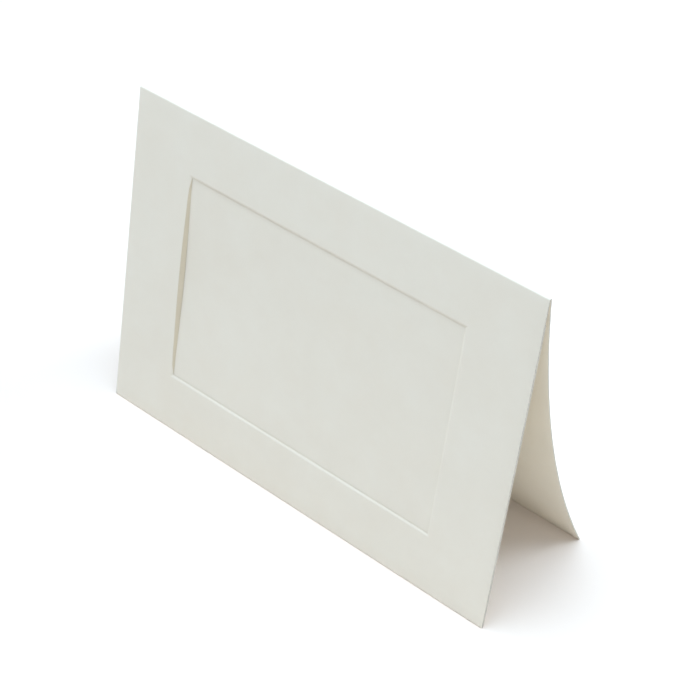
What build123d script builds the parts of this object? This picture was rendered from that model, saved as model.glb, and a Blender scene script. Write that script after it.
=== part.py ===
import os
from math import acos, atan2, cos, degrees, hypot, radians, sin

from build123d import *

# A landscape photo greeting card, letter-folded from one die-cut sheet and standing as a tent.
# The sheet runs from the back leaf, over the top crease, down the window leaf, round the bottom
# fold and up behind the window as a flap, which is glued above, below and to the right of the
# window. That leaves a pocket for a print, which gapes at its open end on the left.

# The sheet, in millimetres
card_width = 177.8
leaf_height = 127.0
stock = 0.45

# The stand: how the two leaves part at the top crease, and how the back leaf curves
crease_radius = 0.15
opening_angle = 10.75
back_radius = 270.0

# The window, by the frame left round it, with the pressed bevel that leads down to its cut edge
frame_side = 27.2
frame_top = 22.9
frame_bottom = 21.8
window_corner = 0.4
bevel_run = 0.9
bevel_drop = 0.36

# The flap behind the window: how far it stops short of the crease, the glue line round the pocket,
# how far the pocket reaches past the window, and its bow at the open end
flap_short = 9.5
glue_film = 0.1
glue_width = 7.0
photo_overlap = 3.5
pocket_bow = 1.0
bow_blend = 22.0

# Places across the section: x runs down the window leaf from the crease, y runs back from its face
crease_outside = crease_radius + stock
turn_radius = stock + glue_film / 2
flap_back = 2 * turn_radius
turn_start = leaf_height - turn_radius
pocket_top = frame_top - photo_overlap
pocket_bottom = leaf_height - frame_bottom + photo_overlap
pocket_height = pocket_bottom - pocket_top
blend_end = pocket_top + bow_blend
crown_end = pocket_bottom - bow_blend
crown_half = pocket_height / 2 - bow_blend
blend_rise = pocket_bow / (1 + crown_half / bow_blend)

# Sizes across the front: the window at the face and at its cut, and the pocket's closed end
window_width = card_width - 2 * frame_side
window_height = leaf_height - frame_top - frame_bottom
cut_width = window_width - 2 * bevel_run
cut_height = window_height - 2 * bevel_run
pocket_end = window_width / 2 + photo_overlap
pocket_length = card_width / 2 + pocket_end

# The back leaf's foot, from its arc: the inner corner of the cut edge is the one that stands
back_turn = (leaf_height - crease_outside) / back_radius
foot_angle = radians(opening_angle) + back_turn
arc_start_x = crease_outside * (1 - sin(radians(opening_angle)))
arc_start_y = crease_outside * (1 + cos(radians(opening_angle)))
outer_foot_x = arc_start_x + back_radius * (sin(foot_angle) - sin(radians(opening_angle)))
outer_foot_y = arc_start_y + back_radius * (cos(radians(opening_angle)) - cos(foot_angle))
inner_foot_x = outer_foot_x + stock * sin(foot_angle)
inner_foot_y = outer_foot_y - stock * cos(foot_angle)

# The lean that puts the bottom fold and that corner on one level
reach_x = inner_foot_x - turn_start
reach_y = inner_foot_y - turn_radius
lean = atan2(reach_y, reach_x) - acos(turn_radius / hypot(reach_x, reach_y))

# Where the crease stands, with the origin on the ground under the middle of the card
fold_front = turn_radius * cos(lean) - turn_start * sin(lean) - turn_radius
foot_back = outer_foot_y * cos(lean) - outer_foot_x * sin(lean)
crease_y = -(fold_front + foot_back) / 2
crease_z = turn_start * cos(lean) + turn_radius * sin(lean) + turn_radius
crease = (0, crease_y, crease_z)

section = Plane(origin=crease, x_dir=(0, -sin(lean), -cos(lean)), z_dir=(1, 0, 0))
front = Plane(origin=crease, x_dir=(1, 0, 0), z_dir=(0, -cos(lean), sin(lean)))
window_middle = (0, -frame_top - window_height / 2)
pocket_middle = (pocket_end - pocket_length / 2, -pocket_top - pocket_height / 2)
glue_middle = (pocket_middle[0] + glue_width / 2, pocket_middle[1])

with BuildPart() as folded_card:
    # The sheet, traced along its middle from the foot of the pocket to the back leaf's foot
    with BuildSketch(section):
        with BuildLine():
            flap_tail = Line((pocket_bottom, flap_back - stock / 2), (turn_start, flap_back - stock / 2))
            bottom_fold = JernArc(flap_tail @ 1, flap_tail % 1, turn_radius - stock / 2, -180)
            window_leaf = Line(bottom_fold @ 1, (crease_outside, stock / 2))
            top_crease = JernArc(
                window_leaf @ 1,
                window_leaf % 1,
                crease_radius + stock / 2,
                opening_angle - 180,
            )
            JernArc(top_crease @ 1, top_crease % 1, back_radius + stock / 2, degrees(back_turn))
        trace(line_width=stock)
    extrude(amount=card_width / 2, both=True)

    # The flap's head above the pocket, and the flap to the right of it, lie flat
    with BuildSketch(front.offset(stock - flap_back)):
        with Locations((0, -flap_short)):
            Rectangle(card_width, pocket_top - flap_short, align=(Align.CENTER, Align.MAX))
        with Locations((card_width / 2, -pocket_top)):
            Rectangle(card_width / 2 - pocket_end, pocket_height, align=(Align.MAX, Align.MAX))
    extrude(amount=-stock)

    # Behind the pocket the flap goes from its bow at the open end to flat at the closed end
    with BuildLine(section.offset(-card_width / 2)):
        bow_out = TangentArc(
            (pocket_top, flap_back),
            (blend_end, flap_back + blend_rise),
            tangent=section.x_dir,
        )
        bow_crown = TangentArc(
            bow_out @ 1,
            (crown_end, flap_back + blend_rise),
            tangent=bow_out % 1,
        )
        bow_in = TangentArc(bow_crown @ 1, (pocket_bottom, flap_back), tangent=bow_crown % 1)
    with BuildLine(section.offset(pocket_end)):
        flat_out = Line((pocket_top, flap_back), (blend_end, flap_back), mode=Mode.PRIVATE)
        flat_crown = Line((blend_end, flap_back), (crown_end, flap_back), mode=Mode.PRIVATE)
        flat_in = Line((crown_end, flap_back), (pocket_bottom, flap_back), mode=Mode.PRIVATE)
    for bowed, flat in ((bow_out, flat_out), (bow_crown, flat_crown), (bow_in, flat_in)):
        back_face = Face.make_surface_from_curves(bowed.edge(), flat.edge())
        extrude(back_face, amount=stock, dir=front.z_dir)

    # The glue line above, below and to the right of the pocket
    with BuildSketch(front.offset(-stock)):
        with Locations(glue_middle):
            Rectangle(pocket_length + glue_width, pocket_height + 2 * glue_width)
        with Locations(pocket_middle):
            Rectangle(pocket_length, pocket_height, mode=Mode.SUBTRACT)
    extrude(amount=-glue_film)

    # The window is cut through the window leaf alone, inside its bevel
    with BuildSketch(front):
        with Locations(window_middle):
            RectangleRounded(cut_width, cut_height, window_corner)
    extrude(amount=-turn_radius, mode=Mode.SUBTRACT)

    with BuildSketch(front):
        with Locations(window_middle):
            RectangleRounded(window_width, window_height, window_corner + bevel_run)
    with BuildSketch(front.offset(-bevel_drop)):
        with Locations(window_middle):
            RectangleRounded(cut_width, cut_height, window_corner)
    loft(mode=Mode.SUBTRACT)

folded_card.part.label = "folded_card"

os.makedirs("parts", exist_ok=True)
export_step(folded_card.part, "parts/folded_card.step")
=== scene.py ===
from math import acos, atan2, cos, hypot, pi, radians, sin

import bpy
import numpy as np
from mathutils import Euler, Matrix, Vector


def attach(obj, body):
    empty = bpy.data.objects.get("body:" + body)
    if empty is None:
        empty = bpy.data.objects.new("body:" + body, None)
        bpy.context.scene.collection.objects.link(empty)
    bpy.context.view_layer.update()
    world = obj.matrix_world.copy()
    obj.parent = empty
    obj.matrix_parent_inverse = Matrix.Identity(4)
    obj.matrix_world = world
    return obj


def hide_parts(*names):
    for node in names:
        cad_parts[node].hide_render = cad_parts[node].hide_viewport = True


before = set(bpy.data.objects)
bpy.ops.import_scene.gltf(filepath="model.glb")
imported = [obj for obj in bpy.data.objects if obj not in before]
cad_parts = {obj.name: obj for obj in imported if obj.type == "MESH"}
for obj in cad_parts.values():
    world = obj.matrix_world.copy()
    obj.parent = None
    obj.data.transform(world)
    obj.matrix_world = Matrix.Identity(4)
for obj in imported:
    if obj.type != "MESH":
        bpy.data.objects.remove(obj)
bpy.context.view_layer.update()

MM = 0.001

# The card, in millimetres: the sheet, its folds, the window and the photo pocket
CARD_WIDTH = 177.8
LEAF_HEIGHT = 127.0
STOCK = 0.45
CREASE_RADIUS = 0.15
OPENING_ANGLE = radians(10.75)
BACK_RADIUS = 270.0
FRAME_SIDE = 27.2
FRAME_TOP = 22.9
FRAME_BOTTOM = 21.8
BEVEL_RUN = 0.9
BEVEL_DROP = 0.36
FLAP_SHORT = 9.5
GLUE_FILM = 0.1
GLUE_WIDTH = 7.0
PHOTO_OVERLAP = 3.5
POCKET_BOW = 1.0
BOW_BLEND = 22.0

# How the cut edges are rounded, with the depth on the front and the back of the sheet, and how
# softly the bevel starts
LIP = 0.09
LIP_FRONT = 0.8 * LIP
LIP_BACK = 0.5 * LIP
BEVEL_SOFTNESS = 0.15

# The window's left edge lies loose over the pocket's mouth: how far it draws back, most in the
# middle, and what share of the way to the flap its slanted cut edge leans back. That slanted edge
# is a sheet of tan painted shade, put where the gap over the pocket's mouth lies in shade
LOOSE_DRAW = 0.8
LOOSE_BOW = 0.7
LOOSE_SLANT = 0.85
LOOSE_REACH = 2.4
LOOSE_ENDS = 5.0

# Places on the sheet, down the window leaf from the crease and across from the middle
HALF_WIDTH = CARD_WIDTH / 2
CREASE_OUTSIDE = CREASE_RADIUS + STOCK
TURN_RADIUS = STOCK + GLUE_FILM / 2
TURN_START = LEAF_HEIGHT - TURN_RADIUS
FLAP_BACK = 2 * TURN_RADIUS
CUT_SIDE = HALF_WIDTH - FRAME_SIDE - BEVEL_RUN
CUT_TOP = FRAME_TOP + BEVEL_RUN
CUT_BOTTOM = LEAF_HEIGHT - FRAME_BOTTOM - BEVEL_RUN
POCKET_TOP = FRAME_TOP - PHOTO_OVERLAP
POCKET_BOTTOM = LEAF_HEIGHT - FRAME_BOTTOM + PHOTO_OVERLAP
POCKET_END = HALF_WIDTH - FRAME_SIDE + PHOTO_OVERLAP
POCKET_LENGTH = HALF_WIDTH + POCKET_END
BACK_TURN = (LEAF_HEIGHT - CREASE_OUTSIDE) / BACK_RADIUS

# The mesh: the spacing of its lines on the flat and the curved parts of the sheet, the points round
# each fold, the finer lines beside the cut edges and the bevel, and the angle of a sharp edge
FLAT_STEP = 4.0
CURVED_STEP = 3.0
BOTTOM_FOLD_POINTS = 17
CREASE_POINTS = 21
LIP_ROWS = tuple(LIP * k for k in (0.25, 0.6, 1.0))
BEVEL_ROWS = tuple(BEVEL_RUN * k for k in (0.25, 0.5, 0.7, 0.85, 1.0, 1.15, 1.35, 1.8, 2.5, 3.4))
SHARP_ANGLE = radians(40)

# The finishes, in the order of the card's materials; both edge finishes are darker copies of the
# sheet's ivory, painted shade
SHEET, CUT_EDGE_PAINTED_SHADE, WINDOW_EDGE_PAINTED_SHADE = range(3)


def graded(length, step, near_start=(), near_end=()):
    """Distances from 0 to length in even steps, finer near an end with a cut edge or a bevel."""
    first = max(near_start, default=0.0)
    last = length - max(near_end, default=0.0)
    even = np.linspace(first, last, max(1, round((last - first) / step)) + 1)
    return np.array(sorted({0.0, length, *near_start, *(length - d for d in near_end), *even}))


class Path:
    """The sheet's outer skin in section: x runs down the window leaf, y back from its face."""

    def __init__(self, x, y, heading):
        self.points = [(x, y)]
        self.headings = [heading]

    def line(self, distances):
        x, y = self.points[-1]
        a = self.headings[-1]
        for d in distances[1:]:
            self.points.append((x + d * cos(a), y + d * sin(a)))
            self.headings.append(a)

    def arc(self, radius, turn, shares):
        x, y = self.points[-1]
        a = self.headings[-1]
        side = radius if turn > 0 else -radius
        for t in shares[1:]:
            b = a + turn * t
            self.points.append((x + side * (sin(b) - sin(a)), y + side * (cos(a) - cos(b))))
            self.headings.append(b)


def sheet_path():
    """From the flap's free edge round the bottom fold, up the window leaf and over to the back foot."""
    path = Path(FLAP_SHORT, FLAP_BACK, 0.0)
    path.line(graded(TURN_START - FLAP_SHORT, CURVED_STEP, LIP_ROWS))
    path.arc(TURN_RADIUS, -pi, np.linspace(0, 1, BOTTOM_FOLD_POINTS))
    path.line(graded(TURN_START - CUT_BOTTOM, FLAT_STEP, (), BEVEL_ROWS))
    path.line(graded(CUT_BOTTOM - CUT_TOP, FLAT_STEP))
    path.line(graded(CUT_TOP - CREASE_OUTSIDE, FLAT_STEP, BEVEL_ROWS))
    path.arc(CREASE_OUTSIDE, OPENING_ANGLE - pi, np.linspace(0, 1, CREASE_POINTS))
    back_length = BACK_TURN * BACK_RADIUS
    path.arc(BACK_RADIUS, BACK_TURN, graded(back_length, CURVED_STEP, (), LIP_ROWS) / back_length)
    return np.array(path.points), np.array(path.headings)


def sheet_columns():
    """Places across the card, finer beside its sides and beside the window."""
    side = graded(HALF_WIDTH - CUT_SIDE, FLAT_STEP, LIP_ROWS, BEVEL_ROWS) - HALF_WIDTH
    middle = graded(2 * CUT_SIDE, FLAT_STEP) - CUT_SIDE
    return np.r_[side, middle[1:-1], -side[::-1]]


def pocket_bow(down, across):
    """How far the flap stands off: most at the open end on the left, none at the closed end."""
    half = (POCKET_BOTTOM - POCKET_TOP) / 2
    crown = half - BOW_BLEND
    rise = POCKET_BOW / (1 + crown / BOW_BLEND)
    off = np.abs(down - (POCKET_TOP + POCKET_BOTTOM) / 2)
    middle = POCKET_BOW - (POCKET_BOW - rise) * (off / crown) ** 2
    blend = rise * np.clip((half - off) / BOW_BLEND, 0, None) ** 2
    openness = np.clip((POCKET_END - across) / POCKET_LENGTH, 0, 1)
    return np.where(off < crown, middle, blend) * openness


def stance(foot, foot_inward):
    """The lean that puts the bottom fold and the back foot on one level, and the crease's place."""
    reach = foot + STOCK * foot_inward - (TURN_START, TURN_RADIUS)
    lean = atan2(reach[1], reach[0]) - acos(TURN_RADIUS / hypot(*reach))
    fold_front = TURN_RADIUS * cos(lean) - TURN_START * sin(lean) - TURN_RADIUS
    foot_back = foot[1] * cos(lean) - foot[0] * sin(lean)
    crease_y = -(fold_front + foot_back) / 2
    crease_z = TURN_START * cos(lean) + TURN_RADIUS * sin(lean) + TURN_RADIUS
    return lean, crease_y, crease_z


def sheet_faces(is_open):
    """The sheet's two skins and the walls along its cut edges, and each face's finish."""
    rows, cols = is_open.shape[0] + 1, is_open.shape[1] + 1
    under = rows * cols
    solid = np.pad(~is_open, 1)
    faces = []
    finish = []

    def wall(a, b, at_border):
        faces.append((b, a, a + under, b + under))
        # Border walls take the dark painted-shade edge finish, walls round the window the tan painted
        # shade
        finish.append(CUT_EDGE_PAINTED_SHADE if at_border else WINDOW_EDGE_PAINTED_SHADE)

    for i in range(rows - 1):
        for j in range(cols - 1):
            if not solid[i + 1, j + 1]:
                continue
            a = i * cols + j
            b, c, d = a + 1, a + cols + 1, a + cols
            faces.append((a, b, c, d))
            faces.append((a + under, d + under, c + under, b + under))
            finish += [SHEET, SHEET]
            if not solid[i, j + 1]:
                wall(a, b, i == 0)
            if not solid[i + 1, j + 2]:
                wall(b, c, j == cols - 2)
            if not solid[i + 2, j + 1]:
                wall(c, d, i == rows - 2)
            if not solid[i + 1, j]:
                wall(d, a, j == 0)
    return faces, finish


def glue_slip():
    """The glue line round three sides of the pocket, as one thin slip behind the window leaf."""
    left = LIP - HALF_WIDTH
    right = POCKET_END + GLUE_WIDTH
    top, bottom = POCKET_TOP - GLUE_WIDTH, POCKET_BOTTOM + GLUE_WIDTH
    outline = (
        (left, top),
        (right, top),
        (right, bottom),
        (left, bottom),
        (left, POCKET_BOTTOM),
        (POCKET_END, POCKET_BOTTOM),
        (POCKET_END, POCKET_TOP),
        (left, POCKET_TOP),
    )
    count = len(outline)
    corners = np.array([(x, v, y) for y in (STOCK, STOCK + GLUE_FILM) for x, v in outline])
    quads = [(k, (k + 1) % count, count + (k + 1) % count, count + k) for k in range(count)]
    for a, b, c, d in ((0, 1, 6, 7), (1, 2, 5, 6), (2, 3, 4, 5)):
        quads += [(d, c, b, a), (a + count, b + count, c + count, d + count)]
    return corners, quads


def card_mesh():
    points, headings = sheet_path()
    columns = sheet_columns()
    rows, cols = len(points), len(columns)
    inward = np.c_[np.sin(headings), -np.cos(headings)]
    along = np.r_[0, np.cumsum(np.hypot(*np.diff(points, axis=0).T))]
    on_front = np.isclose(headings, -pi)
    on_flap = np.isclose(headings, 0) & (points[:, 1] > STOCK)
    lean, crease_y, crease_z = stance(points[-1], inward[-1])

    def placed(across, section):
        x, y = section[..., 0], section[..., 1]
        world_y = crease_y - x * sin(lean) + y * cos(lean)
        world_z = crease_z - x * cos(lean) - y * sin(lean)
        return np.stack((across, world_y, world_z), -1).reshape(-1, 3)

    across = np.broadcast_to(columns, (rows, cols))
    down = np.broadcast_to(points[:, :1], (rows, cols))

    # Both faces dip at the sheet's cut edges, and the front dips to the window along its bevel
    to_end = np.minimum(along, along[-1] - along)[:, None]
    to_cut = np.minimum(to_end, HALF_WIDTH - np.abs(across))
    lip = np.clip(1 - to_cut / LIP, 0, 1) ** 2
    above_or_below = np.maximum(CUT_TOP - down, down - CUT_BOTTOM)
    to_window = np.maximum(np.abs(across) - CUT_SIDE, above_or_below)
    slope = 1 - to_window / BEVEL_RUN
    bevel = BEVEL_DROP * (slope + np.sqrt(slope**2 + BEVEL_SOFTNESS**2)) / 2
    bevel = np.where(on_front[:, None], np.minimum(bevel, BEVEL_DROP), 0)

    # The window's loose left edge has no bevel: its front draws back and its back nears the flap
    left_of_window = on_front[:, None] & (across <= -CUT_SIDE)
    from_corner = np.minimum(down - CUT_TOP, CUT_BOTTOM - down)
    loose = np.where(left_of_window, np.clip(from_corner / LOOSE_ENDS, 0, 1), 0)
    bevel = bevel * (1 - loose)
    pull = loose * np.clip(1 + (across + CUT_SIDE) / LOOSE_REACH, 0, 1)
    draw = LOOSE_DRAW + LOOSE_BOW * pocket_bow(down, -HALF_WIDTH) / POCKET_BOW
    # The slanted cut edge this makes carries the window edges' tan painted shade
    slant = pull**2 * LOOSE_SLANT * (pocket_bow(down, across) + GLUE_FILM)

    # The two skins of the sheet, with the flap bowed behind the pocket
    base = np.repeat(points[:, None, :], cols, axis=1)
    base[..., 1] += np.where(on_flap[:, None], pocket_bow(down, across), 0)
    outer = base + inward[:, None, :] * np.maximum(LIP_FRONT * lip, bevel)[..., None]
    inner = base + inward[:, None, :] * (STOCK + slant - LIP_BACK * lip)[..., None]
    verts = np.concatenate([placed(across - pull * draw, outer), placed(across, inner)])

    # The window is open through the window leaf alone
    middle_across = np.abs((columns[:-1] + columns[1:]) / 2)
    middle_down = (points[:-1, 0] + points[1:, 0]) / 2
    open_rows = on_front[:-1] & on_front[1:] & (middle_down > CUT_TOP) & (middle_down < CUT_BOTTOM)
    faces, finish = sheet_faces(open_rows[:, None] & (middle_across < CUT_SIDE)[None, :])

    corners, quads = glue_slip()
    faces += [tuple(len(verts) + k for k in quad) for quad in quads]
    # The glue slip takes the cut edges' darker finish, painted shade
    finish += [CUT_EDGE_PAINTED_SHADE] * len(quads)
    verts = np.concatenate([verts, placed(corners[:, 0], corners[:, 1:])])

    mesh = bpy.data.meshes.new("card")
    mesh.from_pydata((verts * MM).tolist(), [], faces)
    mesh.polygons.foreach_set("use_smooth", [True] * len(faces))
    mesh.polygons.foreach_set("material_index", finish)
    mesh.set_sharp_from_angle(angle=SHARP_ANGLE)
    mesh.update()
    return mesh


# How deep the paper's fibres and its tooth are pressed, in metres
FIBRE_DEPTH = 0.00004
TOOTH_DEPTH = 0.00003


def new_material(name):
    material = bpy.data.materials.new(name)
    material.use_nodes = True
    nodes = material.node_tree.nodes
    return material, nodes, material.node_tree.links, nodes["Principled BSDF"]


def paper(name, light, dark, tooth, fibre, roughness):
    """Uncoated card: faint cloudiness in its colour, pressed fibres and a fine tooth."""
    material, nodes, links, shader = new_material(name)
    shader.inputs["Roughness"].default_value = roughness
    shader.inputs["Specular IOR Level"].default_value = 0.25

    def noise(vector, **settings):
        node = nodes.new("ShaderNodeTexNoise")
        for socket, value in settings.items():
            node.inputs[socket].default_value = value
        links.new(vector, node.inputs["Vector"])
        return node.outputs["Fac"]

    def bump(height, strength, depth):
        node = nodes.new("ShaderNodeBump")
        node.inputs["Strength"].default_value = strength
        node.inputs["Distance"].default_value = depth
        links.new(height, node.inputs["Height"])
        return node

    place = nodes.new("ShaderNodeTexCoord").outputs["Object"]
    stretch = nodes.new("ShaderNodeMapping")
    stretch.inputs["Scale"].default_value = (500, 2600, 2600)
    links.new(place, stretch.inputs["Vector"])
    cloud = noise(place, Scale=55, Detail=6, Roughness=0.65)
    strands = noise(stretch.outputs["Vector"], Scale=1, Detail=3, Distortion=1.2)
    grain = noise(place, Scale=3200, Detail=4)

    ramp = nodes.new("ShaderNodeValToRGB")
    low_stop, high_stop = ramp.color_ramp.elements
    low_stop.position, low_stop.color = 0.3, (*dark, 1)
    high_stop.position, high_stop.color = 0.7, (*light, 1)
    links.new(cloud, ramp.inputs["Fac"])
    links.new(ramp.outputs["Color"], shader.inputs["Base Color"])

    strand_bump = bump(strands, fibre, FIBRE_DEPTH)
    grain_bump = bump(grain, tooth, TOOTH_DEPTH)
    links.new(strand_bump.outputs["Normal"], grain_bump.inputs["Normal"])
    links.new(grain_bump.outputs["Normal"], shader.inputs["Normal"])
    return material


card = bpy.data.objects.new("card", card_mesh())
bpy.context.scene.collection.objects.link(card)
for finish in (
    paper("ivory_card", (0.93, 0.855, 0.725), (0.91, 0.825, 0.69), 0.5, 0.5, 0.8),
    # Cut edges: a darker copy of the ivory, painted shade for the shade along edges facing away from
    # the light
    paper("cut_edge_painted_shade", (0.50, 0.46, 0.40), (0.44, 0.405, 0.35), 0.8, 0.9, 0.9),
    # Window edges: a tan copy of the ivory, painted shade for the warm shade in the gap under the loose
    # left edge
    paper("window_edge_painted_shade", (0.78, 0.67, 0.50), (0.74, 0.63, 0.46), 0.8, 0.9, 0.9),
):
    card.data.materials.append(finish)
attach(card, "root")
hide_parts("folded_card")

# The floor
FLOOR_HALF = 3.0
floor_corners = [(x * FLOOR_HALF, y * FLOOR_HALF, 0) for x, y in ((-1, -1), (1, -1), (1, 1), (-1, 1))]
floor_mesh = bpy.data.meshes.new("floor")
floor_mesh.from_pydata(floor_corners, [], [(0, 1, 2, 3)])
floor = bpy.data.objects.new("floor", floor_mesh)
bpy.context.scene.collection.objects.link(floor)
floor_material, _, _, floor_shader = new_material("floor")
floor_shader.inputs["Base Color"].default_value = (0.97, 0.85, 0.75, 1)
floor_shader.inputs["Roughness"].default_value = 0.9
floor_shader.inputs["Specular IOR Level"].default_value = 0.1
floor_mesh.materials.append(floor_material)

# Soft light from above and a little from each side, some from behind that reaches into the tent,
# and a faint sky. The lights all face the card's lower part
DAYLIGHT = (0.73, 0.86, 1.0)
SKY_STRENGTH = 0.21
LIGHT_TARGET = Vector((0, 0, 0.05))


def soft_light(name, place, size, power):
    light = bpy.data.lights.new(name, "AREA")
    light.shape = "DISK"
    light.size = size
    light.energy = power
    light.color = DAYLIGHT
    lamp = bpy.data.objects.new(name, light)
    lamp.location = place
    lamp.rotation_euler = (LIGHT_TARGET - Vector(place)).to_track_quat("-Z", "Y").to_euler()
    bpy.context.scene.collection.objects.link(lamp)


soft_light("over", (-0.15, -0.1, 1.4), 1.3, 24.6)
soft_light("left", (-1.4, -0.3, 0.6), 0.9, 3.8)
soft_light("right", (1.4, -0.3, 0.6), 0.9, 3.4)
soft_light("right_back", (0.9, 1.0, 0.6), 0.9, 13.8)
world = bpy.data.worlds.new("studio")
bpy.context.scene.world = world
world.use_nodes = True
sky = world.node_tree.nodes["Background"]
sky.inputs["Color"].default_value = (*DAYLIGHT, 1)
sky.inputs["Strength"].default_value = SKY_STRENGTH

# The camera, as solved from the photo's outer edges
camera = bpy.data.objects.new("camera", bpy.data.cameras.new("camera"))
camera.location = (0.35551, -0.36807, 0.50176)
camera.rotation_euler = Euler((radians(48.80743), radians(1.43496), radians(42.11097)), "XYZ")
camera.data.sensor_width = 36
camera.data.lens = 101.66
camera.data.clip_start = 0.01
bpy.context.scene.collection.objects.link(camera)
bpy.context.scene.camera = camera

bpy.context.scene.view_settings.view_transform = "Standard"
